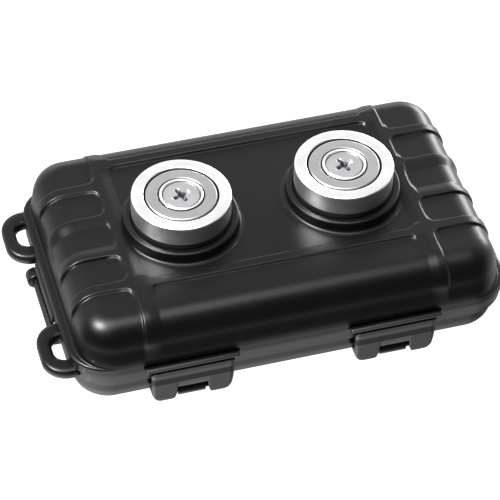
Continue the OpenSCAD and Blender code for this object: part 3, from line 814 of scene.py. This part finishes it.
# ---------------------------------------------------------------------------------------------
# Lower shell.
# The tub is a second moulding in the same plastic, with a rolled bottom edge and a flange that
# carries the seal's groove. Its flange is cut away round the lid's hinge knuckles.
# ---------------------------------------------------------------------------------------------
tub_inset_x = 1.5
tub_inset_y = 2.9
tub_half_x = flange_half_x - tub_inset_x
tub_half_y = flange_half_y - tub_inset_y
tub_wall_out = 9.2
tub_corner_x = tub_half_x - tub_wall_out
tub_corner_y = tub_half_y - tub_wall_out
tub_edge_r = 6.0
tub_wall_t = 2.6
flange_step = 0.06
tub_ledge_x = flange_half_x - flange_step - tub_half_x
tub_ledge_y = flange_half_y - flange_step - tub_half_y
tub_flange_out = tub_wall_out + tub_ledge_x
tub_flange_z = parting_z - flange_h
tub_edge_out = tub_wall_out - tub_edge_r
groove_near = 1.4
groove_far = 3.2
groove_depth = 1.8
tub_side = np.concatenate([
    [(0, 0)],
    line((0, 0), (tub_edge_out, 0), 3),
    arc((tub_edge_out, tub_edge_r), tub_edge_r, -90, 0, 16)[1:-1],
    rounded_profile([
        (tub_wall_out, tub_edge_r, 0), (tub_wall_out, tub_flange_z - 0.5, 0.8),
        (tub_flange_out, tub_flange_z, 0.25), (tub_flange_out, parting_z, 0),
        (tub_flange_out - 0.5, parting_z, 0),
    ], 7),
])
tub_side_y = np.where(tub_side[:, 0] > tub_wall_out,
                      tub_wall_out + (tub_side[:, 0] - tub_wall_out) * tub_ledge_y / tub_ledge_x,
                      tub_side[:, 0])
groove_in = np.array([1.1, 1.3, groove_near, groove_near, groove_far, groove_far, 3.3])
groove_heights = parting_z - np.array([0, 0, 0.1, groove_depth, groove_depth, 0.1, 0])
tub_inner_out = [tub_wall_out - tub_wall_t]
tub_out_x = np.concatenate([tub_side[:, 0], tub_flange_out - groove_in, tub_inner_out])
tub_out_y = np.concatenate([tub_side_y, tub_wall_out + tub_ledge_y - groove_in, tub_inner_out])
tub_height = np.concatenate([tub_side[:, 1], groove_heights, [parting_z]])
tub_rings = len(tub_height) - 1
tub_notch_half = hinge_piece / 2 + 0.2
notch_ends = [hinge_x - tub_notch_half, hinge_x + tub_notch_half]
tub_lines_x = mirrored(marks(0, tub_corner_x, fine=0.5, coarse=3.0, fine_places=notch_ends, reach=0.8))
tub_axis_x = tray_axis(tub_lines_x, tub_corner_x, tub_rings)
tub_axis_y = tray_axis(np.linspace(-tub_corner_y, tub_corner_y, 19), tub_corner_y, tub_rings)
tub_outer, _ = tray_points(tub_axis_x, tub_axis_y, tub_out_x, tub_out_y, tub_height)
hinge_notch(tub_outer, [-hinge_x, hinge_x], tub_notch_half)
tub_inside = inside_outline((tub_edge_out, tub_edge_r), tub_edge_r - tub_wall_t, -90, 10, tub_rings + 1)
tub_inner, _ = tray_points(tub_axis_x, tub_axis_y, tub_inside[:, 0], tub_inside[:, 0],
                           tub_inside[:, 1])
add_piece("moulded_tub", *two_sided(tub_outer, tub_inner), "base", "plastic", black_plastic,
          ["lower_shell"], sharp_angle=50)

# ---------------------------------------------------------------------------------------------
# Lanyard loops.
# Two D-shaped eyes moulded on the left end of the tub's flange, with a fat, round-edged section.
# A cord or a strap is tied to them.
# ---------------------------------------------------------------------------------------------


def fat_section(half_width, half_height, power, count=28):
    """A superellipse, between a circle at power 2 and a rectangle at a high power."""
    angle = np.linspace(0, 2 * math.pi, count, endpoint=False)
    c, s = np.cos(angle), np.sin(angle)
    return np.stack([half_width * np.sign(c) * np.abs(c) ** (2 / power),
                     half_height * np.sign(s) * np.abs(s) ** (2 / power)], -1)


def tube_faces(rings, count):
    """Faces of a tube of rings, count points in each, with a flat cap on both ends."""
    caps = [np.arange(count)[::-1], np.arange(count) + (rings - 1) * count]
    return list(grid_quads(rings, count, wrap_columns=True)) + caps


def banded(outer, inner, section):
    """Points and faces of a flat ring between two level outlines, its section stretched to fit."""
    middle, reach = (outer + inner) / 2, (outer - inner) / 2
    points = middle[:, None] + reach[:, None] * section[None, :, :1]
    points[..., 2] += section[None, :, 1]
    return points.reshape(-1, 3), tube_faces(len(outer), len(section))


loop_place_y = 20.1
loop_half_w = 8.6
loop_reach = 6.2
loop_h = 3.2
loop_root = 1.6
eye_half_w = 3.9
eye_reach = 2.8
ends = ((-1, "front"), (1, "rear"))


def loop_edge(middle_y, half_w, reach):
    """One level outline of a loop: in at the flange, round both turns, and back to the flange."""
    straight = half_w - reach
    root_x = loop_root - flange_half_x
    front = arc((-flange_half_x, middle_y - straight), reach, 270, 180, 16)
    rear = arc((-flange_half_x, middle_y + straight), reach, 180, 90, 16)
    plan = np.concatenate([[(root_x, middle_y - half_w)], front, rear, [(root_x, middle_y + half_w)]])
    return np.column_stack([plan, np.full(len(plan), parting_z - loop_h / 2)])


for side, mark in ends:
    loop_outer = loop_edge(side * loop_place_y, loop_half_w, loop_reach)
    loop_eye = loop_edge(side * loop_place_y, eye_half_w, eye_reach)
    add_piece(f"lanyard_loop_{mark}", *banded(loop_outer, loop_eye, fat_section(1.0, loop_h / 2, 3.4)),
              "base", "plastic", black_plastic)

# ---------------------------------------------------------------------------------------------
# Left end: edge bar, side lugs and strap pin.
# Between the loops the tub's flange is thicker, with a fine line along it. Below it two round
# lugs hold a blackened steel pin that a strap can go round.
# ---------------------------------------------------------------------------------------------


def extruded(outline, stations, insets, axis):
    """Points and faces of a closed outline carried along an axis. At each station the outline is
    drawn in along its own normals by that station's inset, which rounds the two end edges."""
    outline = np.asarray(outline, float)
    ahead = np.roll(outline, -1, axis=0) - np.roll(outline, 1, axis=0)
    ahead /= np.maximum(np.linalg.norm(ahead, axis=1, keepdims=True), 1e-9)
    area = np.sum(outline[:, 0] * np.roll(outline[:, 1], -1) - outline[:, 1] * np.roll(outline[:, 0], -1))
    inward = np.stack([-ahead[:, 1], ahead[:, 0]], -1) * np.sign(area)
    layers = outline[None] + inward[None] * np.asarray(insets, float)[:, None, None]
    along = np.broadcast_to(np.asarray(stations, float)[:, None], layers.shape[:2])
    order = {"x": (along, layers[..., 0], layers[..., 1]), "y": (layers[..., 0], along, layers[..., 1])}
    return np.stack(order[axis], -1).reshape(-1, 3), tube_faces(len(stations), len(outline))


def quarter_steps(count):
    """Places from 0 to 1, close together at 0, as on a quarter circle: 1 less the cosine."""
    return 1 - np.cos(np.linspace(0, math.pi / 2, count))


def rounded_bar(outline, middle, half_length, edge_r, axis):
    """Points and faces of an outline carried both ways from a middle, its end edges rounded: the
    inset and the way in from the end are the two legs of a quarter circle."""
    steps = edge_r * quarter_steps(5)
    stations = np.concatenate([middle - half_length + steps, middle + half_length - steps[::-1]])
    return extruded(outline, stations, np.concatenate([steps[::-1], steps]), axis)


def closed_outline(corners, count=5):
    """A closed path through (out, z, radius) corners, each corner rounded to its radius."""
    corners = np.asarray(corners, float)
    start = (corners[0] + corners[-1]) / 2
    start[2] = 0
    return rounded_profile(np.concatenate([[start], corners, [start]]), count)[:-1]


edge_bar_out = 0.6
edge_bar_root = 1.2
edge_bar_half_l = 9.4
edge_bar_x = -flange_half_x - edge_bar_out
edge_bar = closed_outline([
    (edge_bar_x, tub_flange_z, 0.4), (edge_bar_x, tub_flange_z + 1.2, 0.1),
    (edge_bar_x + 0.25, tub_flange_z + 1.35, 0.1), (edge_bar_x, tub_flange_z + 1.5, 0.1),
    (edge_bar_x, parting_z, 0.4), (-flange_half_x + edge_bar_root, parting_z, 0.1),
    (-flange_half_x + edge_bar_root, tub_flange_z, 0.1),
])
add_piece("edge_bar", *rounded_bar(edge_bar, 0, edge_bar_half_l, 0.35, "y"), "base", "plastic",
          black_plastic)

strap_low, strap_high = (np.array(corner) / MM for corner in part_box("strap_pin"))
strap_x = (strap_low[0] + strap_high[0]) / 2 + 0.4
strap_z = (strap_low[2] + strap_high[2]) / 2
strap_half_l = (strap_high[1] - strap_low[1]) / 2
strap_bar_r = 1.0
lug_r = 2.2
lug_place_y = 10.2
lug_half_w = 1.8
lug_root_x = 0.6 - tub_half_x
lug_outline = np.concatenate([
    arc((strap_x, strap_z), lug_r, 90, 270, 24),
    [(lug_root_x, strap_z - lug_r), (lug_root_x, strap_z + lug_r)],
])
for side, mark in ends:
    add_piece(f"side_lug_{mark}", *rounded_bar(lug_outline, side * lug_place_y, lug_half_w, 0.5, "y"),
              "base", "plastic", black_plastic)


def small_metal(name, colour, rough, scale):
    """Plated or blackened metal for small hardware: drawn marks and a little wear."""
    paint, tree, shader, place = new_finish(name)
    drawn = add_node(tree, "Mapping", {"Vector": place, "Scale": (0.15, 1.0, 1.0)}).outputs["Vector"]
    worn = noise(tree, drawn, scale, detail=4.0)
    wire(tree, shader, {
        "Base Color": colour_ramp(tree, worn, (0, 1), (toned(colour, 0.75), toned(colour, 1.15))),
        "Metallic": 1.0,
        "Roughness": map_range(tree, worn, new=(rough - 0.1, rough + 0.1)),
        "Normal": bump(tree, worn, strength=0.2, distance=0.00003),
    })
    return paint


blackened = small_metal("blackened_steel", (0.05, 0.05, 0.052), 0.4, 1500.0)
bar_side = closed_outline([(strap_x + u * strap_bar_r, strap_z + v * strap_bar_r, strap_bar_r)
                           for u, v in ((-1, -1), (1, -1), (1, 1), (-1, 1))], 7)
add_piece("strap_bar", *rounded_bar(bar_side, 0, strap_half_l, 0.3, "y"), "base", "dark_steel",
          blackened, ["strap_pin"])

# ---------------------------------------------------------------------------------------------
# Hinges.
# Moulded knuckles on both shells, in turn, on a drawn steel pin. A web joins each to its flange.
# The pins are zinc plated, and pressed into the tub's knuckles.
# ---------------------------------------------------------------------------------------------
zinc = small_metal("zinc_plate", (0.72, 0.72, 0.74), 0.32, 1200.0)
knuckle_r = 2.5
knuckle_half = (hinge_piece - 0.2) / 2
web_l = 3.4
web_gap = 0.02
web_step = 0.1


def knuckle_outline(upwards):
    """Side view of a knuckle: most of a circle about the pin, and a web to the flange. The web
    lies over the parting face on the lid's knuckles and under it on the tub's."""
    outer_half = arc((0, 0), knuckle_r, -90, 90, 20)
    if upwards:
        web = [(-web_l, knuckle_r - web_step), (-web_l, web_gap), (-knuckle_r, web_gap)]
        outline = np.concatenate([outer_half, web, arc((0, 0), knuckle_r, 180, 270, 12)[1:-1]])
    else:
        web = [(-web_l, -web_gap), (-web_l, web_step - knuckle_r)]
        outline = np.concatenate([outer_half, arc((0, 0), knuckle_r, 90, 180, 12)[1:], web])
    return outline + np.array([hinge_y, parting_z])


def dress_node(name, paint, edge_mm):
    """Gives a solid its finish, welds its triangles and softens its edges."""
    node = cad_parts[name]
    node.data.materials.clear()
    node.data.materials.append(paint)
    node.modifiers.new("weld", "WELD").merge_threshold = 1e-6
    edge = node.modifiers.new("edges", "BEVEL")
    edge.width = edge_mm * MM
    edge.segments = 3
    edge.angle_limit = math.radians(40)


for side, mark in sides:
    middle = side * hinge_x
    add_piece(f"lid_knuckle_{mark}", *rounded_bar(knuckle_outline(True), middle, knuckle_half, 0.3, "x"),
              "lid", "plastic", black_plastic, sharp_angle=35)
    for end in (-1, 1):
        place = "outer" if end == side else "inner"
        add_piece(f"tub_knuckle_{mark}_{place}",
                  *rounded_bar(knuckle_outline(False), middle + end * hinge_piece, knuckle_half, 0.3, "x"),
                  "base", "plastic", black_plastic, sharp_angle=35)
    dress_node(f"hinge_pin_{mark}", zinc, edge_mm=0.15)

# ---------------------------------------------------------------------------------------------
# Latches.
# Each is one moulding: a finger lip with a hook over the lid's flange, a groove, and a body that
# leans in under the flange and ends in two round lobes on a pin.
# ---------------------------------------------------------------------------------------------
latch_low, latch_high = (np.array(corner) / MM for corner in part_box("latch_right"))
pin_low, pin_high = (np.array(corner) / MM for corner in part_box("latch_pin_right"))
pin_y = (pin_low[1] + pin_high[1]) / 2
pin_z = (pin_low[2] + pin_high[2]) / 2
latch_half_w = 10.5
lip_half_w = (latch_high[0] - latch_low[0]) / 2
lip_front_y = latch_low[1]
lip_top_z = latch_high[2] - 0.5
lip_slope = 0.3
lip_t = 0.9
lip_low_z = parting_z + 1.0
lip_back_y = lip_front_y + lip_t
hook_tip_y = -flange_half_y + 1.5
hook_low_z = parting_z + 0.9
hook_top_z = hook_low_z + 0.4
latch_back_y = -flange_half_y - 0.3
neck_y = latch_back_y - 0.9
body_front_y = -flange_half_y - 1.7
body_top_z = lip_low_z - 0.8
lobe_r = 2.0
lobe_out = 4.7
lobe_rise = 4.8
lobe_front_y = pin_y - lobe_r
lobe_back_y = pin_y + lobe_r - 0.1
lobe_low_z = pin_z - lobe_r
slot_half_w = 3.9
slot_top_z = pin_z + 3.0

lip_outline = closed_outline([
    (lip_front_y, lip_low_z, 0.2), (lip_front_y, lip_top_z - lip_slope, 0.2), (lip_back_y, lip_top_z, 0.2),
    (lip_back_y, hook_top_z, 0.1), (hook_tip_y, hook_top_z, 0.1),
    (hook_tip_y, hook_low_z, 0.1), (neck_y, hook_low_z, 0), (neck_y, lip_low_z, 0),
])
body_outline = closed_outline([
    (latch_back_y, hook_low_z + 0.1, 0.05), (neck_y, hook_low_z + 0.1, 0.05),
    (neck_y, body_top_z, 0.1), (body_front_y, body_top_z, 0.1),
    (body_front_y + 0.05, body_top_z - 1.2, 0.5), (body_front_y + 0.25, body_top_z - 2.6, 1.2),
    (body_front_y + 0.1, body_top_z - 4.4, 1.0), (lobe_front_y, pin_z + 0.4, 1.5),
    (lobe_front_y + 0.1, lobe_low_z, 1.5), (lobe_back_y, lobe_low_z, 1.5),
    (lobe_back_y, pin_z + 1.3, 1.0), (latch_back_y, pin_z + 3.8, 0.8),
], 7)


def lobed(points, middle):
    """Lifts the underside of a latch body: to the slot's top between the lobes, and to a quarter
    ellipse at each side of a lobe, wide at the latch's ends and narrow beside the slot."""
    from_middle = np.abs(points[:, 0] - middle)
    lobe_middle = latch_half_w - lobe_out
    beyond = np.where(from_middle > lobe_middle, (from_middle - lobe_middle) / lobe_out,
                      (lobe_middle - from_middle) / (lobe_middle - slot_half_w))
    floor_z = lobe_low_z + lobe_rise * (1 - np.sqrt(np.maximum(1 - np.clip(beyond, 0, 1) ** 2, 0)))
    floor_z = np.where(from_middle < slot_half_w - 0.01, slot_top_z, floor_z)
    return np.maximum(points[:, 2], floor_z)


# The body's stations lie close together where its sides and the lobes turn.
side_round = 1.1
side_inset = 0.5
body_x = mirrored(np.unique(np.round(np.concatenate([
    latch_half_w - lobe_out * quarter_steps(12),
    slot_half_w + (latch_half_w - lobe_out - slot_half_w) * quarter_steps(12),
    [slot_half_w - 0.05, slot_half_w - 0.4, 0],
    latch_half_w - side_round * quarter_steps(7),
]), 4)))
past_side = np.maximum(np.abs(body_x) - latch_half_w + side_round, 0)
body_inset = np.minimum(side_round - np.sqrt(np.maximum(side_round ** 2 - past_side ** 2, 0)), side_inset)

tub_knuckle_r = 1.5
tub_knuckle_half = 3.5
tub_knuckle_root_y = 0.8 - tub_half_y
tub_knuckle = np.concatenate([
    arc((pin_y, pin_z), tub_knuckle_r, 90, 270, 20),
    [(tub_knuckle_root_y, pin_z - tub_knuckle_r), (tub_knuckle_root_y, pin_z + tub_knuckle_r)],
])
for side, mark in sides:
    middle = side * latch_x + latch_shift
    body_points, body_faces = extruded(body_outline, middle + body_x, body_inset, "x")
    body_points[:, 2] = lobed(body_points, middle)
    add_piece(f"latch_lip_{mark}", *rounded_bar(lip_outline, middle, lip_half_w, 0.3, "x"),
              f"{mark}_latch", "plastic", black_plastic, sharp_angle=35)
    add_piece(f"latch_body_{mark}", body_points, body_faces, f"{mark}_latch", "plastic",
              black_plastic, [f"latch_{mark}"], sharp_angle=50)
    add_piece(f"latch_knuckle_{mark}", *rounded_bar(tub_knuckle, middle, tub_knuckle_half, 0.25, "x"),
              "base", "plastic", black_plastic, sharp_angle=35)
    dress_node(f"latch_pin_{mark}", blackened, edge_mm=0.15)

# ---------------------------------------------------------------------------------------------
# Inside: seal ring, foam pad and the magnets' washers and nuts.
# The seal is a moulded rubber ring laid in the tub's groove. The pad is cut from dark foam and
# lies on the floor. The hardware is zinc plated.
# ---------------------------------------------------------------------------------------------


def swept_ring(path, section):
    """Points and faces of a section of (across, up) pairs carried round a closed, level path.
    Across is square to the path, in its plane."""
    ahead = np.roll(path, -1, axis=0) - np.roll(path, 1, axis=0)
    ahead /= np.linalg.norm(ahead, axis=1, keepdims=True)
    across = np.stack([ahead[:, 1], -ahead[:, 0], np.zeros(len(path))], -1)
    up = np.array([0.0, 0.0, 1.0])
    points = path[:, None] + across[:, None] * section[None, :, :1] + up * section[None, :, 1:]
    return points.reshape(-1, 3), grid_quads(len(path), len(section), wrap_rows=True, wrap_columns=True)


seal_half_w = 0.8
seal_half_h = 0.87
seal_in = (groove_near + groove_far) / 2
seal_r_x = tub_flange_out - seal_in
seal_r_y = tub_wall_out + tub_ledge_y - seal_in
seal_quarter = np.linspace(0, math.pi / 2, 16)
seal_plan = np.concatenate([
    np.stack([tub_corner_x * sx + seal_r_x * np.cos(seal_quarter + turn),
              tub_corner_y * sy + seal_r_y * np.sin(seal_quarter + turn)], -1)
    for sx, sy, turn in ((1, 1, 0), (-1, 1, math.pi / 2), (-1, -1, math.pi), (1, -1, 3 * math.pi / 2))
])
seal_z = parting_z - groove_depth + seal_half_h
seal_path = np.column_stack([seal_plan, np.full(len(seal_plan), seal_z)])
add_piece("rubber_seal", *swept_ring(seal_path, fat_section(seal_half_w, seal_half_h, 2.6, 20)),
          "base", "rubber", black_rubber, ["seal_ring"])


def foam_finish(name, shade):
    """Closed-cell foam: small pits in a dull dark grey."""
    paint, tree, shader, place = new_finish(name)
    pits = add_node(tree, "TexVoronoi", {"Vector": place, "Scale": 1400.0}).outputs["Distance"]
    light = (shade * 1.4, shade * 1.4, shade * 1.45, 1)
    wire(tree, shader, {
        "Base Color": colour_ramp(tree, pits, (0, 0.6), (grey(shade * 0.5), light)),
        "Roughness": 0.9,
        "Specular IOR Level": 0.2,
        "Normal": bump(tree, pits, strength=0.6, distance=0.00015),
    })
    return paint


pad_low, pad_high = (np.array(corner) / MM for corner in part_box("base_pad"))
pad_corner = 2.6
pad_crown = 0.5
pad_wave_h = 0.08
pad_edge_out = pad_corner - pad_crown
pad_edge_z = pad_high[2] - pad_crown
pad_outline = np.concatenate([
    [(0, pad_high[2])],
    line((0, pad_high[2]), (pad_edge_out, pad_high[2]), 4),
    arc((pad_edge_out, pad_edge_z), pad_crown, 90, 0, 6)[1:],
    line((pad_corner, pad_edge_z), (pad_corner, pad_low[2]), 2),
])
pad_axes = [tray_axis(np.linspace(pad_corner - half, half - pad_corner, count), half - pad_corner,
                      len(pad_outline) - 1)
            for half, count in zip(pad_high, (40, 22))]
pad_top, _ = tray_points(*pad_axes, pad_outline[:, 0], pad_outline[:, 0], pad_outline[:, 1])
pad_wave = pad_wave_h * np.sin(pad_top[..., 0] * 0.35) * np.sin(pad_top[..., 1] * 0.5)
raised = pad_top[..., 2] > pad_high[2] - 0.01
pad_top[..., 2] += np.where(raised, pad_wave - pad_wave_h, 0)
pad_base = pad_top.copy()
pad_base[..., 2] = pad_low[2]
pad = add_piece("foam_pad", *two_sided(pad_top, pad_base), "base", "foam",
                foam_finish("dark_foam", 0.035), ["base_pad"])
for mark in ("left", "right"):
    dress_node(f"inner_washer_{mark}", zinc, edge_mm=0.12)
    dress_node(f"inner_nut_{mark}", zinc, edge_mm=0.25)
